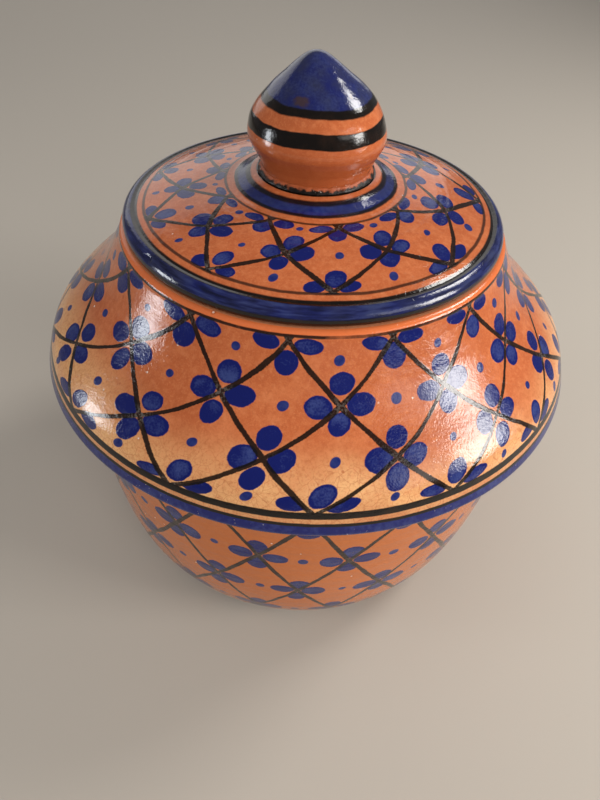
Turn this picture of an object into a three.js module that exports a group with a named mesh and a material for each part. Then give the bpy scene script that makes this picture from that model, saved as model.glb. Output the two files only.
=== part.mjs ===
// A lidded earthenware pot: a round bowl under a projecting rim, a sloping shoulder up to
// a short neck, a low domed lid that sits on the neck's lip, and a pointed knob luted to
// the lid. Millimetres, +Z up, the foot stands on z = 0 and the axis is the Z axis.
import * as THREE from 'three';

// ---- driving dimensions --------------------------------------------------------------
const SEGMENTS = 56;        // facets round every turned surface, the same on all pieces
const GAP = 0.3;            // clearance between pieces that rest on each other

const FOOT_R = 79;          // edge of the foot the pot stands on
const FOOT_RING_R = 67;     // inside edge of the standing ring
const FOOT_RECESS = 1.5;    // how far the underside is hollowed inside the ring
const FLOOR_Z = 8.5;        // inside floor

const RIM_NOSE_R = 131.5;   // widest point of the pot, the rounded rim
const RIM_NOSE_Z = 144.0;
const RIM_ROUND = 2.8;      // radius of the rim's rounded edge
const SHOULDER_FOOT = [128.5, 152.5];
const NECK_R = 87.3;        // outside of the neck just under the lip
const LIP_TOP_Z = 205.0;
const LIP_ROUND = 2.7;
const MOUTH_R = 76.5;       // inside of the mouth

const BEAD_BASE_Z = LIP_TOP_Z + GAP;
const BEAD_R = 84.75;       // outside of the lid's rolled bead
const LID_EDGE = [79.0, 212.0];     // groove between the lid's face and its bead
const BOSS_TOP_Z = 225.4;   // flat on the lid that carries the knob
const LOCATOR_R = 74.2;     // outside of the ring that drops into the mouth
const LOCATOR_WALL = 4.8;
const LOCATOR_BOTTOM_Z = 192.5;

const KNOB_BASE_Z = BOSS_TOP_Z + GAP;
const KNOB_BASE_R = 22.8;
const KNOB_TIP_Z = 270.6;

// ---- outline helpers, all working on [radius, height] pairs ----------------------------
const bend = (points, steps) =>
  new THREE.SplineCurve(points.map(([r, z]) => new THREE.Vector2(r, z)))
    .getPoints(steps).map((p) => [p.x, p.y]);

const round = (centreR, centreZ, radius, fromDeg, toDeg, steps) =>
  Array.from({ length: steps + 1 }, (_, i) => {
    const a = THREE.MathUtils.degToRad(fromDeg + (toDeg - fromDeg) * i / steps);
    return [centreR + radius * Math.cos(a), centreZ + radius * Math.sin(a)];
  });

function turned(name, outline, colour, roughness) {
  const points = outline.map(([r, z]) => new THREE.Vector2(Math.max(r, 0), z));
  const geometry = new THREE.LatheGeometry(points, SEGMENTS);
  geometry.rotateX(Math.PI / 2);
  const material = new THREE.MeshStandardMaterial({ color: colour, roughness });
  const mesh = new THREE.Mesh(geometry, material);
  mesh.name = name;
  return mesh;
}

// ---- the pot: bowl, projecting rim, shoulder, neck and lip -----------------------------
function potBody() {
  const bowl = bend([
    [FOOT_R + 1.5, 0.8], [90.5, 4.6], [99, 10], [104.6, 16.4], [109, 24.2], [112.3, 34],
    [114.5, 44.5], [116.6, 60], [118.2, 80], [119, 102], [119.5, 122], [120.5, 133],
  ], 16);
  const underRim = bend([[120.5, 133], [122.8, 138.2], [RIM_NOSE_R - RIM_ROUND, 141.2]], 4);
  const rim = round(RIM_NOSE_R - RIM_ROUND, RIM_NOSE_Z, RIM_ROUND, -70, 20, 4);
  const shoulder = bend([
    [130, 148.2], SHOULDER_FOOT, [125.3, 158.2], [119.9, 163.8], [113.9, 169], [107.9, 174.2],
    [102.5, 179.4], [97.9, 184.6], [94.3, 189.8], [91.2, 195], [88.8, 199.4],
    [NECK_R, LIP_TOP_Z - LIP_ROUND],
  ], 16);
  const lip = round(NECK_R - LIP_ROUND, LIP_TOP_Z - LIP_ROUND, LIP_ROUND, 22, 90, 3);
  const mouth = [...round(MOUTH_R + 2, LIP_TOP_Z - 2, 2, 90, 180, 3), [MOUTH_R, 198]];
  const inside = bend([
    [MOUTH_R, 198], [80, 192], [89, 179], [101, 167.5], [113, 157], [120.5, 149],
    [119.5, 140], [114.5, 132], [112.8, 118], [112.3, 100], [111.2, 78], [108, 52],
    [103, 32], [94, 17.5], [80, 10.5], [60, FLOOR_Z],
  ], 18);
  return turned('pot_body', [
    [0, FOOT_RECESS], [FOOT_RING_R - 2, FOOT_RECESS], [FOOT_RING_R, 0], [FOOT_R, 0],
    ...bowl, ...underRim.slice(1), ...rim.slice(1), ...shoulder, ...lip, ...mouth,
    ...inside.slice(1), [0, FLOOR_Z],
  ], 0xbf6a3a, 0.3);
}

// ---- the lid: boss, low dome, rolled bead, seat and locating ring ----------------------
function lid() {
  const face = bend([
    [28.8, 224.6], [32.6, 222.6], [36.4, 221.2], [40.1, 220.7], [57.8, 217.8], [75, 213.4],
    LID_EDGE,
  ], 10);
  const bead = bend([
    LID_EDGE, [81, 212.4], [83.1, 211.2], [84.5, 209.2], [BEAD_R, 207.4], [84.2, 205.9],
    [82.6, BEAD_BASE_Z],
  ], 8);
  const under = bend([
    [LOCATOR_R - LOCATOR_WALL, 203], [66.5, 206.6], [56, 210.6], [38, 213.8], [20, 215.6],
  ], 8);
  const fromTheTopDown = [
    [0, BOSS_TOP_Z], [25.7, BOSS_TOP_Z], ...face, ...bead.slice(1),
    [MOUTH_R + 0.5, BEAD_BASE_Z], [LOCATOR_R, BEAD_BASE_Z - 0.6],
    [LOCATOR_R - 0.6, LOCATOR_BOTTOM_Z + 2],
    ...round(LOCATOR_R - 2.6, LOCATOR_BOTTOM_Z + 2, 2, 0, -180, 4).slice(1),
    ...under, [0, 216],
  ];
  return turned('lid', fromTheTopDown.reverse(), 0xc4703e, 0.28);
}

// ---- the knob: waisted stem, round belly and pointed cap -------------------------------
function knob() {
  return turned('lid_knob', [
    [0, KNOB_BASE_Z], [KNOB_BASE_R, KNOB_BASE_Z],
    ...bend([
      [KNOB_BASE_R + 0.4, KNOB_BASE_Z + 0.8], [23.9, 229], [25.2, 232.6], [27.2, 236.2],
      [28.7, 239.2], [29, 241.8], [28.3, 245], [27.2, 248.4], [25.1, 252.4], [22.4, 255.8],
      [18.6, 259.3], [13.8, 262.7], [8.6, 266], [3.6, 269], [0, KNOB_TIP_Z],
    ], 22),
  ], 0xb96236, 0.28);
}

const pot = new THREE.Group();
pot.name = 'lidded_pot';
pot.add(potBody(), lid(), knob());

export default pot;
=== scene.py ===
"""A painted, clear-glazed earthenware pot with a lift-off lid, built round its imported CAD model.

Outlines are [radius, height] pairs in millimetres, as in the CAD; the meshes are in metres.
Azimuth is measured round the pot's axis from +X; -90 degrees faces the viewer.
"""
import math

import bpy
from mathutils import Matrix, Vector, noise


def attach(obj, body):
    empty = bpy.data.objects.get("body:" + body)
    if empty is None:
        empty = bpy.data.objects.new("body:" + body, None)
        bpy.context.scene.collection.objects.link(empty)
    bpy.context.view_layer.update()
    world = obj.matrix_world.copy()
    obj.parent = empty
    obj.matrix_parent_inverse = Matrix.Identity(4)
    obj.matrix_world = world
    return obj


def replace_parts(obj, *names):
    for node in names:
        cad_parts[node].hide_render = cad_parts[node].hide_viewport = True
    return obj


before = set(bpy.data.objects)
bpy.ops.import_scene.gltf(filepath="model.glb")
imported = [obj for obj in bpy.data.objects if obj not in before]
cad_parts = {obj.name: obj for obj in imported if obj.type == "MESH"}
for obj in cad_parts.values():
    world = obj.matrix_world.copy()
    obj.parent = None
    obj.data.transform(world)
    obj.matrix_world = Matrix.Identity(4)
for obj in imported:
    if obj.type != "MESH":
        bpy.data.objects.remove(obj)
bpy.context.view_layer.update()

MM = 0.001
TAU = 2 * math.pi

# ---- colours, scene linear ---------------------------------------------------------------
CLAY = (0.53, 0.140, 0.046)
CLAY_DEEP = (0.35, 0.082, 0.026)
CLAY_PALE = (0.60, 0.210, 0.085)
CLAY_BARE = (0.42, 0.17, 0.085)
CREAM = (0.70, 0.385, 0.165)
CLAY_BOWL = (0.48, 0.128, 0.020)
CLAY_NECK = (0.64, 0.150, 0.044)
SOOT = (0.030, 0.032, 0.038)
# pale grey of the crust on the line crossings: partly real blistering, partly painted glint
ASH_AND_GLINT = (0.20, 0.185, 0.165)
COBALT = (0.0045, 0.0085, 0.095)
COBALT_THIN = (0.034, 0.050, 0.170)
COBALT_DARK = (0.0035, 0.0045, 0.016)
MANGANESE = (0.0055, 0.0035, 0.0025)
MANGANESE_THIN = (0.024, 0.011, 0.006)
LIME_WHITE = (0.78, 0.70, 0.60)
RUST = (0.050, 0.026, 0.014)

# ---- dimensions shared with the CAD ------------------------------------------------------
RIM_R, RIM_Z, RIM_ROUND = 131.5, 144.0, 2.8     # nose of the projecting rim
LIP_R, LIP_Z, LIP_ROUND = 84.6, 205.0, 2.7      # the rounded lip on the neck
MOUTH_R, MOUTH_ROUND = 76.5, 2
LID_SEAT_Z = 205.3                              # underside of the bead
BOSS_Z = 225.4                                  # the flat that carries the knob
KNOB_Z = 225.7                                  # underside of the knob
LOCATOR_R, LOCATOR_Z = 74.2, 192.5              # the ring that drops into the mouth
LOCATOR_WALL, LOCATOR_ROUND = 4.8, 2

# ---- facets round each turned piece ------------------------------------------------------
POT_FACETS, LID_FACETS, KNOB_FACETS, LUTING_FACETS = 288, 320, 160, 240


# ==========================================================================================
# Shader arithmetic
# ==========================================================================================
SEED_STEP = (61.7, 37.3, 83.9)      # how far apart two seeds read a texture, mm


class Val:
    """A number at every point of a surface: an output of a shader graph, with arithmetic."""

    def __init__(self, graph, socket):
        self.graph, self.socket = graph, socket

    def _do(self, op, *rest):
        return self.graph.math(op, self, *rest)

    def __add__(self, o): return self._do("ADD", o)
    def __radd__(self, o): return self._do("ADD", o)
    def __sub__(self, o): return self._do("SUBTRACT", o)
    def __rsub__(self, o): return self.graph.math("SUBTRACT", o, self)
    def __mul__(self, o): return self._do("MULTIPLY", o)
    def __truediv__(self, o): return self._do("DIVIDE", o)
    def __rtruediv__(self, o): return self.graph.math("DIVIDE", o, self)
    def __pow__(self, o): return self._do("POWER", o)
    def __abs__(self): return self._do("ABSOLUTE")
    def sqrt(self): return self._do("SQRT")
    def sin(self): return self._do("SINE")
    def cos(self): return self._do("COSINE")
    def nearest(self): return self._do("ROUND")
    def floor(self): return self._do("FLOOR")
    def wrap(self, n): return self._do("FLOORED_MODULO", n)
    def sign(self): return self._do("SIGN")
    def least(self, o): return self._do("MINIMUM", o)
    def most(self, o): return self._do("MAXIMUM", o)
    def within(self, low, high): return self.most(low).least(high)

    def above(self, edge, soft):
        """0 below the edge, 1 above it, with a soft step of plus or minus `soft`."""
        return self.graph.step(self - edge, soft)

    def below(self, edge, soft):
        return 1 - self.above(edge, soft)

    def band(self, middle, half, soft):
        """1 within `half` of the middle."""
        return abs(self - middle).below(half, soft)


class Graph:
    """A material's shader graph, with the point on the surface in millimetres."""

    def __init__(self, name):
        self.material = bpy.data.materials.new(name)
        self.material.use_nodes = True
        self.tree = self.material.node_tree
        self.tree.nodes.clear()
        place = self.node("ShaderNodeTexCoord").outputs["Object"]
        scaled = self.node("ShaderNodeVectorMath", operation="SCALE")
        scaled.inputs["Scale"].default_value = 1 / MM
        self.link(place, scaled.inputs[0])
        self.point = scaled.outputs[0]
        split = self.node("ShaderNodeSeparateXYZ")
        self.link(self.point, split.inputs[0])
        self.x, self.y, self.z = (Val(self, s) for s in split.outputs)
        self.r = (self.x * self.x + self.y * self.y).sqrt()
        self.azimuth = self.math("ARCTAN2", self.y, self.x)

    def node(self, kind, **settings):
        made = self.tree.nodes.new(kind)
        for key, value in settings.items():
            setattr(made, key, value)
        return made

    def link(self, a, b):
        self.tree.links.new(a.socket if isinstance(a, Val) else a, b)

    def feed(self, socket, value):
        """A constant, a Val or a socket goes into an input."""
        if isinstance(value, (Val, bpy.types.NodeSocket)):
            self.link(value, socket)
        elif isinstance(value, tuple):
            socket.default_value = (*value, 1.0)
        else:
            socket.default_value = value

    def math(self, op, *values):
        made = self.node("ShaderNodeMath", operation=op)
        for socket, value in zip(made.inputs, values):
            self.feed(socket, value)
        return Val(self, made.outputs[0])

    def step(self, value, soft):
        made = self.node("ShaderNodeMapRange", interpolation_type="SMOOTHSTEP")
        self.feed(made.inputs["Value"], value)
        made.inputs["From Min"].default_value = -soft
        made.inputs["From Max"].default_value = soft
        return Val(self, made.outputs["Result"])

    def vector(self, x, y, z):
        made = self.node("ShaderNodeCombineXYZ")
        for socket, value in zip(made.inputs, (x, y, z)):
            self.feed(socket, value)
        return made.outputs[0]

    def _texture(self, kind, size_mm, seed, at, **settings):
        """A 3-D texture node whose features are about size_mm across. Each seed reads another
        part of the texture."""
        made = self.node(kind, **settings)
        shift = self.node("ShaderNodeVectorMath", operation="ADD")
        self.link(at if at is not None else self.point, shift.inputs[0])
        shift.inputs[1].default_value = tuple(mm * seed for mm in SEED_STEP)
        self.link(shift.outputs[0], made.inputs["Vector"])
        made.inputs["Scale"].default_value = 1 / size_mm
        return made

    def noise(self, size_mm, seed, detail=2.0, at=None):
        """Smooth noise around 0, from about -0.5 to 0.5."""
        made = self._texture("ShaderNodeTexNoise", size_mm, seed, at)
        made.inputs["Detail"].default_value = detail
        return Val(self, made.outputs["Fac"]) - 0.5

    def noises(self, size_mm, seed, detail=1.0):
        """Three independent smooth noises around 0."""
        made = self._texture("ShaderNodeTexNoise", size_mm, seed, None)
        made.inputs["Detail"].default_value = detail
        split = self.node("ShaderNodeSeparateColor")
        self.link(made.outputs["Color"], split.inputs[0])
        return [Val(self, s) - 0.5 for s in split.outputs]

    def cells(self, size_mm, seed, feature="F1", at=None):
        """Scattered points: (distance from the nearest in mm, its own random number)."""
        made = self._texture("ShaderNodeTexVoronoi", size_mm, seed, at, feature=feature)
        distance = Val(self, made.outputs["Distance"]) * size_mm
        if feature == "DISTANCE_TO_EDGE":
            return distance, None
        split = self.node("ShaderNodeSeparateColor")
        self.link(made.outputs["Color"], split.inputs[0])
        return distance, Val(self, split.outputs[0])

    def chance(self, a, b, c):
        """Three random numbers from 0 to 1 that belong to the whole numbers a, b, c."""
        made = self.node("ShaderNodeTexWhiteNoise", noise_dimensions="3D")
        self.link(self.vector(a, b, c), made.inputs["Vector"])
        split = self.node("ShaderNodeSeparateColor")
        self.link(made.outputs["Color"], split.inputs[0])
        return [Val(self, s) for s in split.outputs]

    def mix(self, amount, a, b):
        """Colour a where the amount is 0, colour b where it is 1."""
        made = self.node("ShaderNodeMix", data_type="RGBA")
        self.feed(made.inputs[0], amount)
        self.feed(made.inputs[6], a)
        self.feed(made.inputs[7], b)
        return made.outputs[2]

    def finish(self, colour, roughness, height_mm, ior=1.46):
        """The surface: colour, roughness and a height field in millimetres."""
        bump = self.node("ShaderNodeBump")
        bump.inputs["Strength"].default_value = 1.0
        bump.inputs["Distance"].default_value = MM
        self.feed(bump.inputs["Height"], height_mm)
        shader = self.node("ShaderNodeBsdfPrincipled")
        self.feed(shader.inputs["Base Color"], colour)
        self.feed(shader.inputs["Roughness"], roughness)
        shader.inputs["IOR"].default_value = ior
        self.link(bump.outputs["Normal"], shader.inputs["Normal"])
        out = self.node("ShaderNodeOutputMaterial")
        self.link(shader.outputs[0], out.inputs[0])
        return self.material


# ==========================================================================================
# What every glazed surface shares
# ==========================================================================================
def fired_clay(g, pale=None):
    """Terracotta seen through clear glaze: flushed, mottled, dappled and finely grained, darker
    and paler. `pale` is where the slip under the glaze shows cream."""
    flush = g.noise(48, 1, 3.0)
    mottle = g.noise(9, 2, 3.0)
    grain = g.noise(0.9, 3, 1.0)
    dapple = g.noise(2.2, 8, 3.0)
    colour = g.mix((flush * 1.5 + mottle * 0.5 + 0.42).within(0.0, 1.0), CLAY_DEEP, CLAY)
    colour = g.mix((mottle * 1.3 + flush * 0.6 - 0.02).within(0.0, 0.75), colour, CLAY_PALE)
    if pale is not None:
        colour = g.mix(pale, colour, CREAM)
    colour = g.mix((grain * 1.5).within(0.0, 0.40), colour, CLAY_DEEP)
    colour = g.mix((dapple * 1.6).within(0.0, 0.38), colour, CLAY_PALE)
    colour = g.mix((dapple * -1.5 - 0.02).within(0.0, 0.35), colour, CLAY_DEEP)
    return g.mix((g.noise(0.7, 4, 1.0) * 1.6 - 0.05).within(0.0, 0.35), colour, CLAY_PALE)


def specks(g, colour):
    """Lime specks, iron specks and burst lime in dark craters, each kind far apart; returns the
    colour and the mask of the pits they leave."""
    far, pick = g.cells(6.5, 5)
    lime = far.below(0.42, 0.16) * pick.above(0.80, 0.02)
    colour = g.mix(lime * 0.75, colour, LIME_WHITE)
    far, pick = g.cells(11, 6)
    iron = far.below(0.40, 0.20) * pick.above(0.72, 0.02)
    colour = g.mix(iron * 0.8, colour, CLAY_DEEP)
    far, pick = g.cells(19, 7)
    crater = far.band(0.85, 0.16, 0.14) * pick.above(0.55, 0.02)
    colour = g.mix(crater * 0.7, colour, CLAY_DEEP)
    burst = far.below(0.45, 0.15) * pick.above(0.55, 0.02)
    colour = g.mix(burst * 0.7, colour, LIME_WHITE)
    return colour, lime.most(burst)


def crazing(g):
    """The net of hair cracks in the glaze, 1 on a crack."""
    shift = g.noises(6, 11)
    at = g.vector(*(place + by * 3.0 for place, by in zip((g.x, g.y, g.z), shift)))
    edge, _ = g.cells(4.2, 12, "DISTANCE_TO_EDGE", at)
    return edge.below(0.07, 0.11)


def speck_and_craze(g, colour, crack_tint=0.12):
    """Specks and hair cracks over the clay; colour, mask of the pits and mask of the cracks."""
    colour, pits = specks(g, colour)
    cracks = crazing(g)
    return g.mix(cracks * crack_tint, colour, CLAY_DEEP), pits, cracks


def glaze_surface(g, colour, paint, pits, cracks, rings, dull=0.12, grain_mm=0.040):
    """Glossy clear glaze over the painting, with throwing rings and orange peel."""
    peel = g.noise(2.8, 21, 2.0) * 0.070 + g.noise(0.85, 22, 2.5) * grain_mm
    height = peel + rings + paint * 0.015 - pits * 0.12 - cracks * 0.012
    roughness = g.noise(14, 23, 2.0) * 0.10 + dull + pits * 0.35 + g.noise(1.6, 24, 1.0) * 0.08
    return g.finish(colour, roughness.most(0.06), height)


def throwing_rings(g, along):
    """Shallow ridges left by the potter's fingers, 7.5 and 3.1 mm apart, drifting round the pot;
    heights in mm."""
    drift = g.noise(60, 31, 1.0)
    wide = (along * (TAU / 7.5) + drift * 9).sin() * 0.035
    return wide + (along * (TAU / 3.1) + drift * 5).sin() * 0.012


def lay_cobalt(g, colour, mask, thin):
    """Cobalt paint where the mask is 1, paler where it lies thin."""
    return g.mix(mask, colour, g.mix(thin, COBALT, COBALT_THIN))


def lay_manganese(g, colour, mask):
    """Brown-black brush line, thinner and browner in places."""
    thin = g.noise(7, 41, 2.0) * 1.7 + g.noise(1.3, 42, 1.0) * 0.5 + 0.02
    return g.mix(mask, colour, g.mix(thin.within(0.0, 0.75), MANGANESE, MANGANESE_THIN))


# ==========================================================================================
# The painted lattice of flowers
# ==========================================================================================
class Lattice:
    """Crossed brush lines with a four-petalled flower on every crossing and a dot in every cell.

    `column` and `row` are whole numbers at a flower on even rows, and half a column over on odd
    rows; `column_mm` and `row_mm` are their sizes, and `count` columns go round. `line_half` is
    half a line's width, and `reach_mm` how far the (side, upper, lower) petals stand from the
    crossing. `rows` is the (first, last) row: their flowers lose the outer petal, their side
    petals are flatter and stand in from the border by `tuck` mm, and the dots between them by
    `dots_in`. `stretch` spreads the last row's side petals."""

    LINE_VARIES, LINE_GRAIN = 0.9, 0.5      # slow and fine change of a line's half width, mm
    CRUST_AND_GLINT_REACH = 3.6                       # blisters, and the painted glint on them, stay this near a crossing, mm
    PETAL_LENGTH, PETAL_WIDTH = 4.9, 5.0    # half sizes of an upright petal, mm
    SIDE_LONGER, SIDE_NARROWER = 0.9, 0.5   # what a side petal adds and takes away
    PETAL_VARIES = 0.9                      # petals differ this much in length and width, mm
    REACH_VARIES, OVER_VARIES = 1.6, 1.4    # and this much in place, outwards and sideways
    PETAL_TILTS = 0.36                      # and this much in direction, radians
    DOT_R, DOT_VARIES = 1.75, 0.7           # radius of a dot, mm
    DOT_STRAYS = (2.8, 2.4)                 # how far dots differ in place, mm
    EXACT = 1e-3                            # a step with no visible softness

    def __init__(self, g, column, row, column_mm, row_mm, count, seed, size=1.0, line_half=1.1,
                 reach_mm=(7.7, 7.9, 7.3), rows=None, tuck=(0, 0), dots_in=(0, 0), stretch=0.0):
        self.g, self.column_mm, self.row_mm = g, column_mm, row_mm
        self.count, self.seed, self.size = count, seed, size
        self.line_half, self.reach_mm = line_half, reach_mm
        self.rows, self.tuck, self.dots_in, self.stretch = rows, tuck, dots_in, stretch
        # a is whole on every line that leans one way, b on every line that leans the other.
        self.a, self.b = column - row * 0.5, column + row * 0.5
        self.a_line, self.b_line = self.a.nearest(), self.b.nearest()
        self.da, self.db = self.a - self.a_line, self.b - self.b_line

    def chance(self, a, b, key):
        """Three random numbers for a place in the lattice, the same after a whole turn."""
        return self.g.chance(a.wrap(self.count), b.wrap(self.count), key)

    def ends(self, row):
        """Masks of the first row and the last row, from the number of the row."""
        return (row.below(self.rows[0] + 0.5, self.EXACT),
                row.above(self.rows[1] - 0.5, self.EXACT))

    def lines(self):
        """The brush lines, and the pale blistered crust where two of them cross, which is partly
        painted glint.
        """
        g, seed = self.g, self.seed
        per_mm = ((1 / self.column_mm) ** 2.0 + (0.5 / self.row_mm) ** 2.0).sqrt()
        off_a, off_b = abs(self.da) / per_mm, abs(self.db) / per_mm
        press = g.noise(13, seed + 1, 1.0) * self.LINE_VARIES
        grainy = g.noise(0.8, seed + 6, 1.0) * self.LINE_GRAIN
        lines = off_a.least(off_b).below(press + grainy + self.line_half * self.size, 0.18)
        patchy = g.noise(40, seed + 7, 1.0) * 3.0 + 0.5
        crossing = (off_a.most(off_b).below(self.CRUST_AND_GLINT_REACH, 2.4) * patchy).within(0.0, 1.0)
        return lines, lines * crossing * g.noise(0.9, seed + 8, 2.0).above(0.03, 0.07)

    def petals(self):
        """The petals, and how thin their paint is."""
        g, seed, size = self.g, self.seed, self.size
        across, along = (self.da + self.db) * 0.5, self.db - self.da
        x, y = across * self.column_mm, along * self.row_mm

        # The sector between the lines says which of the four petals this is.
        sideways = (abs(across) * 2 - abs(along)).above(0.0, 1e-4)
        upright = 1 - sideways
        which = sideways * (x.sign() * 0.5 + 1.5) + upright * (y.sign() * 0.5 + 3.5)
        pick = self.chance(self.a_line, self.b_line, which + seed * 10)
        pull = self.chance(self.a_line, self.b_line, which + seed * 10 + 5)
        out = sideways * abs(x) + upright * abs(y)
        over = sideways * y + upright * x

        flat, spread, keep = 0.0, 0.0, 1.0
        if self.rows is not None:
            is_first, is_last = self.ends(self.b_line - self.a_line)
            over = over - sideways * (is_first * self.tuck[0] - is_last * self.tuck[1])
            flat = (is_first + is_last) * sideways * size
            spread = is_last * self.stretch
            keep = 1 - (y * (is_first - is_last)).below(-1.0, 0.1) * upright

        side_mm, upper_mm, lower_mm = self.reach_mm
        is_lower = (y.sign() * 0.5 + 0.5) * upright
        reach = is_lower * (lower_mm - upper_mm) + sideways * (side_mm - upper_mm) + upper_mm
        reach = reach + (pick[0] - 0.5) * self.REACH_VARIES * size + sideways * spread
        length = sideways * self.SIDE_LONGER + self.PETAL_LENGTH
        length = (length + (pick[1] - 0.5) * self.PETAL_VARIES) * size + flat * spread * 0.45
        width = self.PETAL_WIDTH - sideways * self.SIDE_NARROWER
        width = (width + (pick[2] - 0.5) * self.PETAL_VARIES) * size - flat * (spread * 0.2 + 1.4)

        tilt = (pull[0] - 0.5) * self.PETAL_TILTS
        out, over = out - reach, over - (pull[1] - 0.5) * self.OVER_VARIES * size
        lengthwise, breadthwise = out + over * tilt, over - out * tilt
        ragged = g.noise(3.4, seed + 2, 1.0) * 0.14 + g.noise(0.9, seed + 5, 1.0) * 0.09
        oval = ((lengthwise / length) ** 2.0 + (breadthwise / width) ** 2.0).sqrt() + ragged

        # The dab is thick where the brush landed and thin where it was pulled to the middle.
        streak = g.noise(0.8, seed + 3, 2.0) * 1.5 + g.noise(4.5, seed + 4, 1.0) * 1.3
        pulled = lengthwise / length * (pull[2] - 0.40) * 0.9
        thick_edge = oval.above(0.80, 0.16) * 0.7
        thin = (pull[1] - 0.55) * 0.8 + streak - pulled - thick_edge + 0.14
        return oval.below(1.0, 0.045) * keep, thin.within(0.0, 0.9)

    def dots(self):
        """A dot in the middle of each cell between four lines, or just inside a cut cell."""
        a_cell, b_cell = self.a.floor() + 0.5, self.b.floor() + 0.5
        in_a, in_b = self.a - a_cell, self.b - b_cell
        x, y = (in_a + in_b) * 0.5 * self.column_mm, (in_b - in_a) * self.row_mm
        pick = self.chance(a_cell, b_cell, float(self.seed))
        if self.rows is not None:
            is_first, is_last = self.ends(b_cell - a_cell)
            y = y - is_first * self.dots_in[0] + is_last * self.dots_in[1]
        x = x - (pick[0] - 0.5) * self.DOT_STRAYS[0] * self.size
        y = y - (pick[1] - 0.5) * self.DOT_STRAYS[1] * self.size
        radius = (pick[2] * self.DOT_VARIES + self.DOT_R) * self.size
        return (x * x + y * y * 1.15).sqrt().below(radius, 0.22)

    def paint(self, colour, region):
        """The lattice painted over `colour` where `region` is 1; colour and mask of the paint."""
        g = self.g
        lines, crust = self.lines()
        petals, thin = self.petals()
        colour = lay_cobalt(g, colour, region * petals, thin)
        dot_thin = (g.noise(2.0, 51, 1.0) + 0.35).least(0.9)
        colour = lay_cobalt(g, colour, region * self.dots(), dot_thin)
        colour = lay_manganese(g, colour, region * lines * 0.97)
        # the crossings turn pale grey: a blistered crust, and partly painted glint
        return g.mix(region * crust * 0.42, colour, ASH_AND_GLINT), region * petals.most(lines)


def hand_drift(g, seed, size_mm=26, reach_mm=(1.9, 1.9)):
    """How far the painter's hand drifts round the pot and along its outline, mm."""
    slow, quick = g.noises(size_mm, seed), g.noises(7, seed + 1)
    return [s * reach + q * 0.7 for s, q, reach in zip(slow, quick, reach_mm)]


def sway_column(g, count, phase, sine, cosine):
    """Column number round the pot, a little unevenly spaced as a painter steps it by eye: it is
    `phase` at azimuth 0, but for a sway of `sine` and `cosine` degrees."""
    degrees = g.azimuth * (360 / TAU)
    return (degrees + g.azimuth.sin() * sine + g.azimuth.cos() * cosine) * (count / 360) + phase


# ==========================================================================================
# The painted surfaces
# ==========================================================================================
SHOULDER_COLUMNS = 14
SHOULDER_FROM = (130.0, 148.2)              # radius and height where the slope starts
SHOULDER_UP = (-0.6197, 0.7852)             # direction of the slope
SHOULDER_ROW, ROWS_PER_MM, ROW_EASES = 3.2536, 0.05565, 0.000115    # rows are taller higher up
SHOULDER_SWAY = (3.864, 5.617, 0.714)
SHOULDER_TWIST = (0.025, 0.0177)            # columns aside for each row, and for its square
SHOULDER_FIELD = (4.6, 69.6)                # the lattice lies between these, mm up the slope
NECK_LINE, NECK_LINE_HALF = 69.7, 0.58      # thin line under the lid, mm up the slope
RIM_LINE, RIM_LINE_HALF = 4.15, 1.45        # thick line above the rim
RIM_BLUE_Z = 148.0                          # the rim is blue below this
RIM_THIN_Z, RIM_THIN_HALF = 148.35, 0.68    # thin line on the edge of the blue
FLUSH_AZIMUTH, FLUSH_HALF = -2.62, 0.42     # the cream reaches highest here, radians


def shoulder_flush(g, along):
    """Where the slip under the glaze shows cream: low on the shoulder, most of all on the left."""
    pale = along.below(g.noise(42, 65, 2.0) * 40 + 21.0 - g.x * 0.03, 15.0)
    pale = pale * (g.noise(16, 66, 2.0) * 1.3 + 0.85).within(0.0, 1.0)
    left = g.azimuth.band(FLUSH_AZIMUTH, FLUSH_HALF, 0.25) * along.below(30.0, 12.0)
    return pale.most(left * 0.8)


def shoulder_lattice(g, slope):
    """Four rows of fourteen flowers; `slope` is mm up the shoulder."""
    column_mm = g.r * (TAU / SHOULDER_COLUMNS)
    row_mm = 1 / (ROWS_PER_MM - slope * (2 * ROW_EASES))
    drift = hand_drift(g, 61)
    row = SHOULDER_ROW - slope * ROWS_PER_MM + slope * slope * ROW_EASES + drift[1] / row_mm
    column = sway_column(g, SHOULDER_COLUMNS, *SHOULDER_SWAY) + drift[0] / column_mm
    column = column + row * SHOULDER_TWIST[0] + row * row * SHOULDER_TWIST[1]
    return Lattice(g, column, row, column_mm, row_mm, SHOULDER_COLUMNS, 7, size=0.96,
                   line_half=1.0, rows=(0, 3), tuck=(1.3, 3.6), dots_in=(6.0, 4.9), stretch=2.3)


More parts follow.
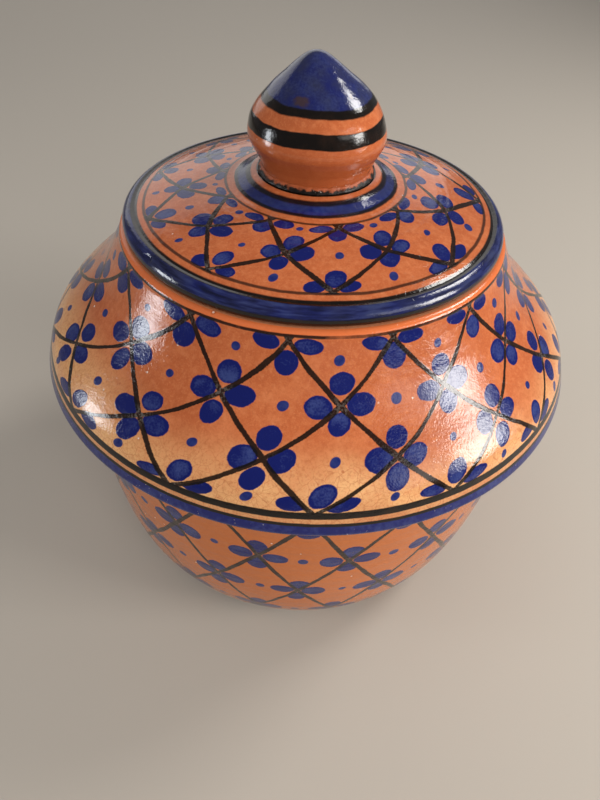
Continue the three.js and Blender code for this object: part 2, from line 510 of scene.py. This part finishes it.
def shoulder_material():
    """Neck line, four rows of flowers, cream flush, and the bands of the rim."""
    g = Graph("painted_shoulder")
    slope = (g.r - SHOULDER_FROM[0]) * SHOULDER_UP[0] + (g.z - SHOULDER_FROM[1]) * SHOULDER_UP[1]
    wander = g.noise(30, 63, 1.0) * 1.6
    edge = g.noise(5, 64, 1.0) * 0.7
    along = slope + wander * 0.4
    pale = shoulder_flush(g, along)
    colour = fired_clay(g, pale)
    colour = g.mix(along.above(69.5, 1.5) * 0.85, colour, CLAY_NECK)
    colour = g.mix(along.below(3.0, 1.0) * 0.35, colour, CLAY_DEEP)
    colour, pits, cracks = speck_and_craze(g, colour, pale * 0.50 + 0.12)

    field = along.above(SHOULDER_FIELD[0], 0.4) * along.below(SHOULDER_FIELD[1], 0.4)
    colour, flowers = shoulder_lattice(g, slope).paint(colour, field)
    neck_line = (along + edge * 0.5).band(NECK_LINE, NECK_LINE_HALF, 0.18)
    broken = g.noise(18, 67, 1.0) * 1.8 + g.noise(2, 70, 1.0) * 0.5 + 1.05
    colour = lay_manganese(g, colour, (neck_line * broken.least(0.95)).most(0.0))
    thick = (slope + edge * 0.5 + wander * 0.25).band(RIM_LINE, RIM_LINE_HALF, 0.22)
    colour = lay_manganese(g, colour, thick)
    z = g.z + edge * 0.35
    blue = z.below(RIM_BLUE_Z, 0.25)
    worn = g.noise(2.2, 68, 2.0) * 1.4 + g.noise(11, 69, 1.0) + 0.10
    colour = lay_cobalt(g, colour, blue, worn.within(0.0, 0.8))
    bubbles = g.noise(0.9, 74, 1.0).above(0.27, 0.03) * g.noise(12, 75, 1.0).above(-0.05, 0.1)
    colour = g.mix(blue * bubbles * 0.6, colour, LIME_WHITE)
    colour = lay_manganese(g, colour, z.band(RIM_THIN_Z, RIM_THIN_HALF, 0.2))
    return glaze_surface(g, colour, flowers + thick + blue, pits, cracks,
                         throwing_rings(g, slope) * 0.35, dull=0.13, grain_mm=0.085)


BOWL_COLUMNS = 18
BOWL_ROW_MM = 33.0
BOWL_FROM = (119.5, 132.5)                  # radius and height of the first row
BOWL_CURVES = 0.0103                        # mm of outline for each mm inwards, squared
BOWL_ROWS_TILT = 9.0                        # the rows hang lower on the left by twice this, mm
BOWL_SWAY, BOWL_TWIST = (4.093, -5.283, -1.049), 0.032
BOWL_FIELD_Z = 7.5                          # the lattice ends here, above the foot
FOOT_LINE_Z, FOOT_LINE_HALF = 6.6, 0.9


def bowl_material():
    """Rows of flowers running down under the rim, and a line above the foot."""
    g = Graph("painted_bowl")
    down = (BOWL_FROM[1] - g.z) + (BOWL_FROM[0] - g.r) ** 2.0 * BOWL_CURVES
    column_mm = g.r * (TAU / BOWL_COLUMNS)
    drift = hand_drift(g, 71)
    row = (down - g.azimuth.cos() * BOWL_ROWS_TILT + drift[1]) * (1 / BOWL_ROW_MM)
    column = sway_column(g, BOWL_COLUMNS, *BOWL_SWAY) + drift[0] / column_mm + row * BOWL_TWIST
    lattice = Lattice(g, column, row, column_mm, BOWL_ROW_MM, BOWL_COLUMNS, 8)

    colour = g.mix(0.75, fired_clay(g), CLAY_BOWL)
    colour, pits, cracks = speck_and_craze(g, colour)
    z = g.z + g.noise(6, 73, 1.0) * 0.8
    colour, flowers = lattice.paint(colour, z.above(BOWL_FIELD_Z, 0.4))
    colour = lay_manganese(g, colour, z.band(FOOT_LINE_Z, FOOT_LINE_HALF, 0.3))
    return glaze_surface(g, colour, flowers, pits, cracks, throwing_rings(g, g.z),
                         dull=0.15, grain_mm=0.060)


LID_COLUMNS = 9
LID_ROW_MM = 16.3
LID_FIRST_ROW_R = 41.6
LID_CHORD = 0.22                            # how far straight strokes cut inside the rows
LID_SWAY, LID_TWIST = (2.704, -7.869, 2.615), 0.088
LID_FIELD_R = (39.4, 75.2)                  # the lattice lies between these
LID_INNER_LINE_R, LID_OUTER_LINE_R = 39.5, 75.0
LID_RING_R, LID_RING_HALF = 32.1, 3.2       # the blue ring round the knob
RING_INNER_EDGE, RING_OUTER_EDGE = (29.5, 1.1, 0.5), (35.0, 0.8, 0.4)
KNOB_JOINT_R = 25.9                         # black inside this, under the luting
LID_FACE_Z = 208.0                          # the upper side of the lid is above this
BEAD_FROM_R, BEAD_BLACK_Z = 80.2, 208.8     # the rolled edge is blue, and black below
BEAD_LINE = (79.3, 1.45, 0.35)              # the black line in the groove inside it


def lid_lattice(g):
    """Three rows of nine flowers, going out from the ring."""
    column_mm = g.r * (TAU / LID_COLUMNS)
    drift = hand_drift(g, 81, 24, (2.4, 1.6))
    row = (g.r + drift[1] - LID_FIRST_ROW_R) * (1 / LID_ROW_MM)
    part = row.wrap(1.0)
    row = row + part * (1 - part) * LID_CHORD   # the brush goes straight from flower to flower
    column = sway_column(g, LID_COLUMNS, *LID_SWAY) + drift[0] / column_mm + row * LID_TWIST
    return Lattice(g, column, row, column_mm, LID_ROW_MM, LID_COLUMNS, 9, size=0.80,
                   line_half=1.2, reach_mm=(6.7, 5.9, 5.3), rows=(0, 2), tuck=(1.0, 1.6),
                   dots_in=(2.6, 3.8))


def paint_bead(g, colour, wander):
    """The lid's rolled edge: cobalt dragged round in streaks, between two black lines."""
    bead = (g.r + wander * 0.25).above(BEAD_FROM_R, 0.3)
    round_lid = g.vector(g.azimuth.cos() * 11, g.azimuth.sin() * 11, g.z * 1.5)
    streaks = g.noise(1.3, 87, 3.0, round_lid)
    worn = streaks * 3.6 + g.noise(10, 88, 1.0) * 0.8 + 0.12
    colour = lay_cobalt(g, colour, bead, worn.within(0.0, 0.8))
    colour = g.mix(bead * (g.noise(12, 89, 2.0) + 0.36).within(0.05, 0.75), colour, SOOT)
    colour = g.mix(bead * (0.04 - streaks * 3.6).within(0.0, 0.8), colour, COBALT_DARK)
    groove = (g.r + wander * 0.35).band(*BEAD_LINE) * g.z.above(LID_FACE_Z, 0.3)
    below = (g.z + wander * 0.3).below(BEAD_BLACK_Z, 0.4)
    return lay_manganese(g, colour, groove.most(below)), bead


def lid_material():
    """Rings round the knob, three rows of flowers between two lines, and the rolled bead."""
    g = Graph("painted_lid")
    colour, pits, cracks = speck_and_craze(g, fired_clay(g), 0.10)
    wander = g.noise(22, 83, 1.0) * 1.3 + g.noise(5, 84, 1.0) * 0.5
    r = g.r + wander
    field = r.above(LID_FIELD_R[0], 0.3) * r.below(LID_FIELD_R[1], 0.3)
    colour, flowers = lid_lattice(g).paint(colour, field)
    colour = lay_manganese(g, colour, r.band(LID_INNER_LINE_R, 0.6, 0.3) * 0.85)
    colour = lay_manganese(g, colour, r.band(LID_OUTER_LINE_R, 0.65, 0.3) * 0.85)
    ring = r.band(LID_RING_R, LID_RING_HALF, 0.3)
    worn = g.noise(2.4, 85, 2.0) * 1.2 + g.noise(12, 86, 1.0) + 0.25
    colour = lay_cobalt(g, colour, ring, worn.within(0.0, 0.85))
    colour = g.mix(ring * (g.noise(9, 98, 2.0) + 0.25).within(0.0, 0.5), colour, SOOT)
    ring_edges = r.band(*RING_INNER_EDGE).most(r.band(*RING_OUTER_EDGE))
    colour = lay_manganese(g, colour, ring_edges * 0.94)
    colour = lay_manganese(g, colour, (g.r + wander * 0.3).below(KNOB_JOINT_R, 0.3))
    colour, bead = paint_bead(g, colour, wander)
    return glaze_surface(g, colour, flowers + ring + bead, pits, cracks,
                         throwing_rings(g, g.r) * g.z.above(LID_FACE_Z, 0.3))


KNOB_CAP_Z = 254.9                          # the knob is blue above this
KNOB_CAP_LINE_Z, KNOB_CAP_LINE_HALF = 255.1, 1.25
KNOB_BAND_Z, KNOB_BAND_HALF = 247.1, 2.65
KNOB_SPOT = (-7.0, -19.0, 258.3)            # a rusty burnt spot on the front of the cap


def burnt_spots(g, cap):
    """The one spot that the photograph shows on the cap's front, and a few small ones round it."""
    x, y, z = (at - middle for at, middle in zip((g.x, g.y, g.z), KNOB_SPOT))
    far = (x ** 2.0 + y ** 2.0 + (z * 2.0) ** 2.0).sqrt()
    spot = (far + g.noise(2.0, 95, 2.0) * 4.0).below(3.0, 1.1)
    return spot.most(g.noise(6, 96, 2.0).above(0.24, 0.04) * cap)


def knob_material():
    """A cobalt cap over terracotta with a black band, darker from its belly down towards the lid.
    """
    g = Graph("painted_knob")
    z = g.z + g.noise(18, 91, 1.0) * 1.4 + g.noise(4, 92, 1.0) * 0.5
    # the clay is darker towards the foot of the knob, below its widest point
    colour = g.mix(z.below(242.0, 9.0) * 0.74, fired_clay(g), CLAY_DEEP)
    colour, pits, cracks = speck_and_craze(g, colour, 0.10)
    cap = z.above(KNOB_CAP_Z, 0.25)
    worn = g.noise(0.9, 93, 2.0) * 1.5 + g.noise(9, 94, 1.0) * 0.9 + 0.12
    colour = lay_cobalt(g, colour, cap, worn.within(0.0, 0.8))
    colour = g.mix(cap * (g.noise(5, 97, 2.0) + 0.35).within(0.1, 0.6), colour, SOOT)
    colour = g.mix(burnt_spots(g, cap) * 0.75, colour, RUST)
    band = z.band(KNOB_BAND_Z, KNOB_BAND_HALF, 0.25)
    line = z.band(KNOB_CAP_LINE_Z, KNOB_CAP_LINE_HALF, 0.3)
    colour = lay_manganese(g, colour, band.most(line))
    return glaze_surface(g, colour, cap + band, pits, cracks, throwing_rings(g, g.z) * 1.2)


def inside_material():
    """Plain clear glaze inside the pot."""
    g = Graph("clear_glaze_inside")
    colour, pits, cracks = speck_and_craze(g, fired_clay(g))
    return glaze_surface(g, colour, 0.0, pits, cracks, throwing_rings(g, g.z) * 3.0)


def bare_clay_material():
    """Unglazed terracotta: the foot, the mouth, and the underside and seat of the lid."""
    g = Graph("bare_terracotta")
    colour = g.mix(g.noise(30, 101, 3.0) + 0.5, CLAY_BARE, CLAY_PALE)
    colour = g.mix((g.noise(1.2, 102, 2.0) + 0.15).most(0.0), colour, CLAY_DEEP)
    colour, pits = specks(g, colour)
    height = g.noise(0.9, 103, 2.0) * 0.10 + throwing_rings(g, g.r) - pits * 0.15
    return g.finish(colour, 0.82 + g.noise(3, 104, 1.0) * 0.15, height)


def luting_material():
    """The crust in the joint under the knob: black below, clay above, with white crumbs."""
    g = Graph("luting_crust")
    crust = g.noise(2.4, 111, 3.0)
    dark = (g.z + crust * 3.0).below(227.0, 0.4)
    colour = g.mix(dark, CLAY_DEEP, MANGANESE)
    crumbs = g.noise(0.8, 112, 2.0).above(0.22, 0.04) * g.noise(6, 114, 1.0).above(0.0, 0.15)
    colour = g.mix(crumbs * 0.8, colour, LIME_WHITE)
    height = crust * 0.4 + g.noise(0.8, 113, 1.0) * 0.15
    return g.finish(colour, 0.45 + crust * 0.5, height)


# ==========================================================================================
# Turned shapes
# ==========================================================================================
SAME_POINT = 1e-4                   # outline points this near each other are one, mm
SHARP_DEG = 50                      # faces that meet at more than this stay sharp


def add_piece(mesh, body):
    """An object of its own that rides on a body of the model."""
    piece = bpy.data.objects.new(mesh.name, mesh)
    bpy.context.scene.collection.objects.link(piece)
    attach(piece, body)
    return piece


def bend(points, step=1.6):
    """A smooth curve through the points, with a point about every `step` mm."""
    pts = [Vector(p) for p in points]
    made = [pts[0]]
    for i in range(len(pts) - 1):
        p0, p1 = pts[max(i - 1, 0)], pts[i]
        p2, p3 = pts[i + 1], pts[min(i + 2, len(pts) - 1)]
        n = max(1, round((p2 - p1).length / step))
        for k in range(1, n + 1):
            t = k / n
            made.append(0.5 * (2 * p1 + (p2 - p0) * t + (2 * p0 - 5 * p1 + 4 * p2 - p3) * t * t
                               + (3 * p1 - p0 - 3 * p2 + p3) * t ** 3))
    return [tuple(p) for p in made]


def round_edge(r, z, radius, start, stop, steps):
    """Part of a circle, by its centre, radius and angles in degrees."""
    angles = [math.radians(start + (stop - start) * i / steps) for i in range(steps + 1)]
    return [(r + radius * math.cos(a), z + radius * math.sin(a)) for a in angles]


def straight(a, b, step=3.0):
    """A straight line with a point about every `step` mm."""
    n = max(1, round(math.dist(a, b) / step))
    return [(a[0] + (b[0] - a[0]) * i / n, a[1] + (b[1] - a[1]) * i / n) for i in range(n + 1)]


def joined(sections):
    """The sections' outline as one, the material number of each stretch, and the materials."""
    outline, slots, materials = [], [], []
    for points, material in sections:
        if material not in materials:
            materials.append(material)
        for p in points:
            if outline and math.dist(p, outline[-1]) < SAME_POINT:
                continue
            if outline:
                slots.append(materials.index(material))
            outline.append(p)
    return outline, slots, materials


def turned(name, sections, facets, shift, body, node, lean=lambda z: 0.0):
    """A closed turned piece. `sections` are (outline, material) in order from the axis round
    to the axis; `shift(r, z, azimuth)` gives each point's new radius and height as the clay has
    moved, and `lean(z)` how far the axis has moved along X there, all in mm."""
    outline, slots, materials = joined(sections)
    verts, rings = [], []
    for r, z in outline:
        if r < SAME_POINT:
            rings.append([len(verts)])
            verts.append((lean(z) * MM, 0.0, z * MM))
            continue
        rings.append(range(len(verts), len(verts) + facets))
        for s in range(facets):
            a = TAU * s / facets
            rr, zz = shift(r, z, a)
            verts.append(((rr * math.cos(a) + lean(z)) * MM, rr * math.sin(a) * MM, zz * MM))
    faces, face_slots = [], []
    for below, above, slot_index in zip(rings, rings[1:], slots):
        for s in range(facets):
            t = (s + 1) % facets
            corners = [below[s % len(below)], below[t % len(below)],
                       above[t % len(above)], above[s % len(above)]]
            faces.append(list(dict.fromkeys(corners)))
            face_slots.append(slot_index)
    mesh = bpy.data.meshes.new(name)
    mesh.from_pydata(verts, [], faces)
    for material in materials:
        mesh.materials.append(material)
    mesh.polygons.foreach_set("material_index", face_slots)
    mesh.polygons.foreach_set("use_smooth", [True] * len(faces))
    mesh.set_sharp_from_angle(angle=math.radians(SHARP_DEG))
    mesh.update()
    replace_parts(add_piece(mesh, body), node)


def hand_thrown(z, a, amount):
    """How far a hand-thrown wall stands off the true circle, at most `amount`, mm."""
    return amount * (0.5 * math.sin(2 * a + 0.9 + z * 0.012)
                     + 0.3 * math.sin(3 * a + 2.3 - z * 0.02)
                     + 0.2 * math.sin(5 * a + 1.1 + z * 0.045))


def fade(value, low, high):
    """0 at low, 1 at high, smooth between."""
    t = min(1.0, max(0.0, (value - low) / (high - low)))
    return t * t * (3 - 2 * t)


# ---- the pot ---------------------------------------------------------------------------
def build_pot(inside, bare):
    """Foot, bowl, rim, shoulder, lip and mouth from the outside to the inside, in one piece."""
    foot = straight((0, 1.5), (65, 1.5)) + round_edge(67.5, 0.6, 0.6, 180, 270, 3)
    foot += straight((68.5, 0), (78.4, 0)) + round_edge(79.4, 1.0, 1.0, 270, 335, 3)
    bowl = bend([
        (80.5, 0.8), (90.5, 4.6), (99, 10), (104.6, 16.4), (109, 24.2), (112.3, 34),
        (114.5, 44.5), (116.6, 60), (118.2, 80), (119, 102), (119.5, 122), (120.5, 133),
        (122.8, 138.2), (RIM_R - RIM_ROUND, RIM_Z - RIM_ROUND),
    ])
    rim = round_edge(RIM_R - RIM_ROUND, RIM_Z, RIM_ROUND, -90, 20, 9)
    shoulder = bend([
        (130, 148.2), (128.5, 152.5), (125.3, 158.2), (119.9, 163.8), (113.9, 169),
        (107.9, 174.2), (102.5, 179.4), (97.9, 184.6), (94.3, 189.8), (91.2, 195),
        (88.8, 199.4), (LIP_R + LIP_ROUND, LIP_Z - LIP_ROUND),
    ])
    lip = round_edge(LIP_R, LIP_Z - LIP_ROUND, LIP_ROUND, 12, 90, 5)
    mouth = straight((LIP_R, LIP_Z), (MOUTH_R + MOUTH_ROUND, LIP_Z))
    mouth += round_edge(MOUTH_R + MOUTH_ROUND, LIP_Z - MOUTH_ROUND, MOUTH_ROUND, 90, 180, 5)
    hollow = bend([
        (MOUTH_R, LIP_Z - 2.5), (MOUTH_R, 198), (80, 192), (89, 179), (101, 167.5), (113, 157),
        (120.5, 149), (119.5, 140), (114.5, 132), (112.8, 118), (112.3, 100), (111.2, 78),
        (108, 52), (103, 32), (94, 17.5), (80, 10.5), (60, 8.5),
    ], 2.2) + straight((60, 8.5), (0, 8.5))

    def shift(r, z, a):
        loose = (1 - fade(z, 188, 200)) * fade(z, 3, 20)    # true at the foot and the mouth
        dip = 0.25 * loose * math.sin(2 * a + z * 0.03)
        return r + hand_thrown(z, a, 0.55 * loose), z + dip

    turned("pot_body_painted", [
        (foot, bare), (bowl, bowl_material()), (rim + shoulder + lip, shoulder_material()),
        (mouth, bare), (hollow, inside),
    ], POT_FACETS, shift, "pot", "pot_body")


# ---- the lid ---------------------------------------------------------------------------
CHIP_AZIMUTH, CHIP_R, CHIP_Z = math.radians(-139), 83.6, 210.6     # where the bead is chipped
CHIP_HALF = (2.6, 1.6, 1.8)         # half its size round the lid, upwards and outwards, mm
CHIP_DEPTH = 1.1


def build_lid(bare):
    """The low dome with its rolled bead and, underneath, the ring that drops into the mouth."""
    seat = straight((0, 216), (20, 215.6)) + bend([
        (20, 215.6), (38, 213.8), (56, 210.6), (66.5, 206.6), (LOCATOR_R - LOCATOR_WALL, 203)])
    seat += straight((LOCATOR_R - LOCATOR_WALL, 203), (LOCATOR_R - 4.7, LOCATOR_Z + 2))
    seat += round_edge(LOCATOR_R - 2.6, LOCATOR_Z + 2, LOCATOR_ROUND, -180, 0, 8)
    seat += straight((LOCATOR_R - 0.6, LOCATOR_Z + 2), (LOCATOR_R, LID_SEAT_Z - 0.6))
    seat += straight((MOUTH_R + 0.5, LID_SEAT_Z), (82.6, LID_SEAT_Z), 1.2)
    bead = bend([
        (82.6, LID_SEAT_Z), (84.2, 205.9), (84.75, 207.4), (84.5, 209.2), (83.1, 211.2),
        (81, 212.4), (79.4, 212.0),
    ], 0.7)
    face = bend([
        (79.4, 212.0), (79.0, 212.0), (75, 213.4), (57.8, 217.8), (40.1, 220.7), (36.4, 221.2),
        (32.6, 222.6), (28.8, 224.6), (27.2, 225.2), (25.7, BOSS_Z),
    ], 1.2) + straight((25.7, BOSS_Z), (0, BOSS_Z), 2.5)

    def shift(r, z, a):
        loose = fade(z, 206.0, 209.0) * fade(r, 27, 34)
        around = (a - CHIP_AZIMUTH + math.pi) % TAU - math.pi
        off = (around * CHIP_R, z - CHIP_Z, r - CHIP_R)
        near = math.hypot(*(mm / half for mm, half in zip(off, CHIP_HALF)))
        chip = CHIP_DEPTH * (1 - fade(near, 0.5, 1.1))
        return (r + hand_thrown(z, a, 0.35 * loose) - chip,
                z + loose * 0.35 * math.sin(2 * a + 0.4) - chip * 0.5)

    turned("lid_painted", [(seat, bare), (bead + face, lid_material())], LID_FACETS, shift,
           "cover", "lid")


# ---- the knob and its luting ------------------------------------------------------------
FLANK_PRESSED = 1.7                 # how far the cap's left flank is pushed in, mm
KNOB_LEANS = -2.0                   # how far the tip leans along X, mm
LUMP = 0.45                         # how far the luting's lumps stand out, mm


def build_knob(bare):
    """The waisted, pointed knob, leaning a little and pressed in on its left flank."""
    base = straight((0, KNOB_Z), (22.4, KNOB_Z), 3.0)
    stem = bend([
        (22.8, KNOB_Z + 0.2), (23.2, KNOB_Z + 0.8), (23.9, 229), (25.2, 232.6), (27.2, 236.2),
        (28.7, 239.2), (29, 241.8), (28.3, 245), (27.2, 248.4), (25.1, 252.4), (22.4, 255.8),
        (18.6, 259.3), (13.8, 262.8), (9.2, 266.2), (5.0, 269.0), (2.2, 270.2), (0, 270.5),
    ], 1.0)

    def shift(r, z, a):
        loose = fade(z, 230, 238) * fade(r, 0, 12)          # true at the joint and the tip
        flank = max(0.0, -math.cos(a)) * fade(z, 246, 257) * (1 - fade(z, 256, 270))
        return r + hand_thrown(z, a, 0.4 * loose) - FLANK_PRESSED * flank, z

    def lean(z):
        return KNOB_LEANS * fade(z, 228, 276)

    turned("lid_knob_painted", [(base, bare), (stem, knob_material())], KNOB_FACETS, shift,
           "cover", "lid_knob", lean)


def build_luting():
    """A lumpy fillet of slip round the foot of the knob: a closed ring."""
    outline = [(22.9, KNOB_Z + 0.1), (25.2, KNOB_Z - 0.15), (25.4, KNOB_Z + 0.3),
               (24.6, KNOB_Z + 0.9), (24.0, KNOB_Z + 1.8), (23.6, KNOB_Z + 2.6),
               (23.0, KNOB_Z + 1.5)]
    against_clay = (0, 1, 6)            # these points of the outline stay smooth
    n = len(outline)
    verts, faces = [], []
    for s in range(LUTING_FACETS):
        a = TAU * s / LUTING_FACETS
        for i, (r, z) in enumerate(outline):
            lump = 0.0
            if i not in against_clay:
                lump = LUMP * noise.noise(Vector((math.cos(a) * 9, math.sin(a) * 9, i * 0.8)))
            verts.append(((r + lump) * math.cos(a) * MM, (r + lump) * math.sin(a) * MM,
                          (z + lump * 0.6) * MM))
        t = (s + 1) % LUTING_FACETS
        faces += [(s * n + i, t * n + i, t * n + (i + 1) % n, s * n + (i + 1) % n)
                  for i in range(n)]
    mesh = bpy.data.meshes.new("knob_luting")
    mesh.from_pydata(verts, [], faces)
    mesh.materials.append(luting_material())
    mesh.polygons.foreach_set("use_smooth", [True] * len(faces))
    add_piece(mesh, "cover")


# ==========================================================================================
# Floor, light and camera
# ==========================================================================================
FLOOR_HALF_M = 4.0
FLOOR_COLOUR = (0.41, 0.37, 0.32)

SUNLIT, WARM_WHITE, SOFT_WHITE = (1.0, 0.97, 0.93), (1.0, 0.98, 0.95), (1.0, 0.99, 0.97)
SKY_BLUE, ROOM_BLUE = (0.92, 0.96, 1.0), (0.93, 0.95, 1.0)
ROOM_STRENGTH = 0.14
POT_MIDDLE = Vector((0, 0, 0.17))           # where every light points, metres
LIGHTS = (
    # name, azimuth and elevation in degrees, distance, width and height in metres, watts,
    # colour, and whether the glaze mirrors it: a fill that isn't mirrored lights the pot
    # without a reflection of its own.
    ("window_right", -16, 20, 1.3, 0.42, 0.36, 10, SUNLIT, True),
    ("window_right_far", 26, 44, 1.5, 0.42, 0.42, 10.5, SUNLIT, True),
    ("window_left", -173, 5, 1.3, 0.26, 0.34, 4, SKY_BLUE, True),
    ("wall_right", -36, 26, 1.6, 0.80, 0.50, 3, SUNLIT, True),
    ("fill_front", -68, 24, 1.8, 1.4, 1.0, 19, WARM_WHITE, False),
    ("fill_top", -130, 66, 1.8, 1.2, 1.2, 7.5, SOFT_WHITE, False),
    ("wall_back", 104, 20, 2.0, 2.8, 1.2, 9.6, WARM_WHITE, True),
)

LENS_MM, SENSOR_MM, CLIP_START_M = 25.2, 36.0, 0.01
CAMERA_AT_M = (0.0, -0.24089, 0.33103)
CAMERA_RIGHT = (0.9983135, 0.0450218, 0.0366493)
CAMERA_UP = (-0.0578582, 0.7199793, 0.6915795)


def build_floor():
    half = FLOOR_HALF_M
    corners = [(-half, -half, 0), (half, -half, 0), (half, half, 0), (-half, half, 0)]
    mesh = bpy.data.meshes.new("floor")
    mesh.from_pydata(corners, [], [(0, 1, 2, 3)])
    g = Graph("pale_floor")
    mesh.materials.append(g.finish(FLOOR_COLOUR, 0.8, g.noise(2.0, 121, 2.0) * 0.02))
    floor = bpy.data.objects.new("floor", mesh)
    bpy.context.scene.collection.objects.link(floor)


def soft_light(name, azimuth, elevation, distance, width, height, watts, colour, mirrored):
    """A soft box that faces the pot from the given direction."""
    a, e = math.radians(azimuth), math.radians(elevation)
    away = Vector((math.cos(a) * math.cos(e), math.sin(a) * math.cos(e), math.sin(e)))
    lamp = bpy.data.lights.new(name, "AREA")
    lamp.shape, lamp.size, lamp.size_y = "RECTANGLE", width, height
    lamp.energy, lamp.color = watts, colour
    light = bpy.data.objects.new(name, lamp)
    light.location = POT_MIDDLE + away * distance
    light.rotation_mode = "QUATERNION"
    light.rotation_quaternion = (-away).to_track_quat("-Z", "Y")
    light.visible_glossy = mirrored
    bpy.context.scene.collection.objects.link(light)


def light_scene():
    for light in LIGHTS:
        soft_light(*light)
    world = bpy.data.worlds.new("soft_room")
    world.use_nodes = True
    background = world.node_tree.nodes["Background"]
    background.inputs["Color"].default_value = (*ROOM_BLUE, 1.0)
    background.inputs["Strength"].default_value = ROOM_STRENGTH
    bpy.context.scene.world = world
    bpy.context.scene.view_settings.view_transform = "Standard"


def place_camera():
    """The photograph's viewpoint, from the circles painted round the pot."""
    lens = bpy.data.cameras.new("camera")
    lens.lens, lens.sensor_width, lens.clip_start = LENS_MM, SENSOR_MM, CLIP_START_M
    camera = bpy.data.objects.new("camera", lens)
    right, up = Vector(CAMERA_RIGHT), Vector(CAMERA_UP)
    turn = Matrix((right, up, right.cross(up))).transposed()
    camera.matrix_world = Matrix.Translation(CAMERA_AT_M) @ turn.to_4x4()
    bpy.context.scene.collection.objects.link(camera)
    bpy.context.scene.camera = camera


bare_clay = bare_clay_material()
build_pot(inside_material(), bare_clay)
build_lid(bare_clay)
build_knob(bare_clay)
build_luting()
build_floor()
light_scene()
place_camera()
